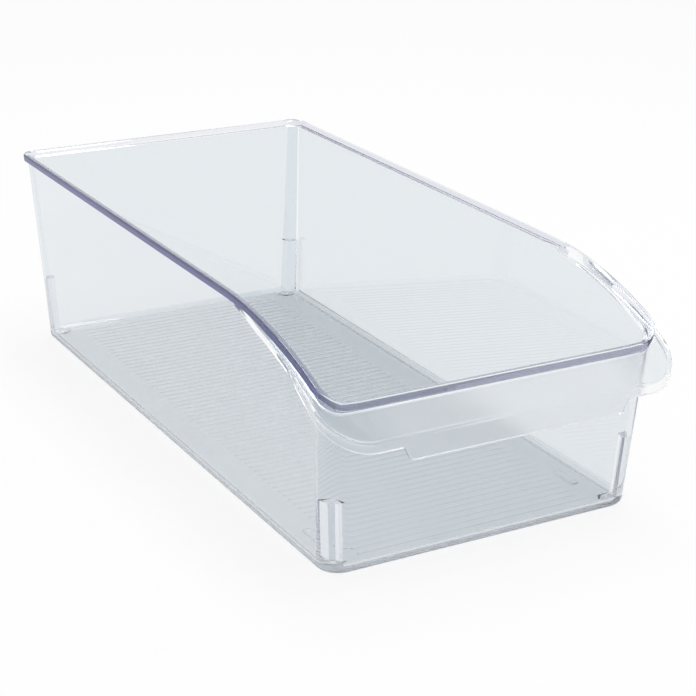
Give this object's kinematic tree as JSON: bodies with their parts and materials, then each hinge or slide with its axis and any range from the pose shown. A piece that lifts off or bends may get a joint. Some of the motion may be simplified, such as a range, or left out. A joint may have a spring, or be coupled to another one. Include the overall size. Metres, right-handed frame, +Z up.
{
  "type": "clear pull-out storage bin",
  "caption": "Clear moulded open-top storage bin with high back, swept sides, rimmed edge, ribbed floor and a sloping front pull handle with a grip tab.",
  "frame": {"origin": "centre of the flat base, on the surface the bin stands on", "axes": "+X to the right seen from the front, +Y from the handle to the back wall, +Z up from the base to the rim"},
  "size_m": [0.1568, 0.3212, 0.092],
  "materials": {
    "clear_plastic": "clear, polished, with a faint blue-violet tint in the edges"
  },
  "bodies": {
    "root": {"floor_plate": "clear_plastic", "floor_ribs": "clear_plastic", "floor_pads": "clear_plastic", "corner_posts": "clear_plastic", "wall_front": "clear_plastic", "wall_back": "clear_plastic", "wall_left": "clear_plastic", "wall_right": "clear_plastic", "wall_corners": "clear_plastic", "rim_front": "clear_plastic", "rim_back": "clear_plastic", "rim_left": "clear_plastic", "rim_right": "clear_plastic", "rim_corners": "clear_plastic", "visor_front": "clear_plastic", "visor_corners": "clear_plastic", "visor_sides": "clear_plastic", "skirt_front": "clear_plastic", "skirt_corners": "clear_plastic", "skirt_sides": "clear_plastic", "grip_tab": "clear_plastic"}
  },
  "joints": []
}
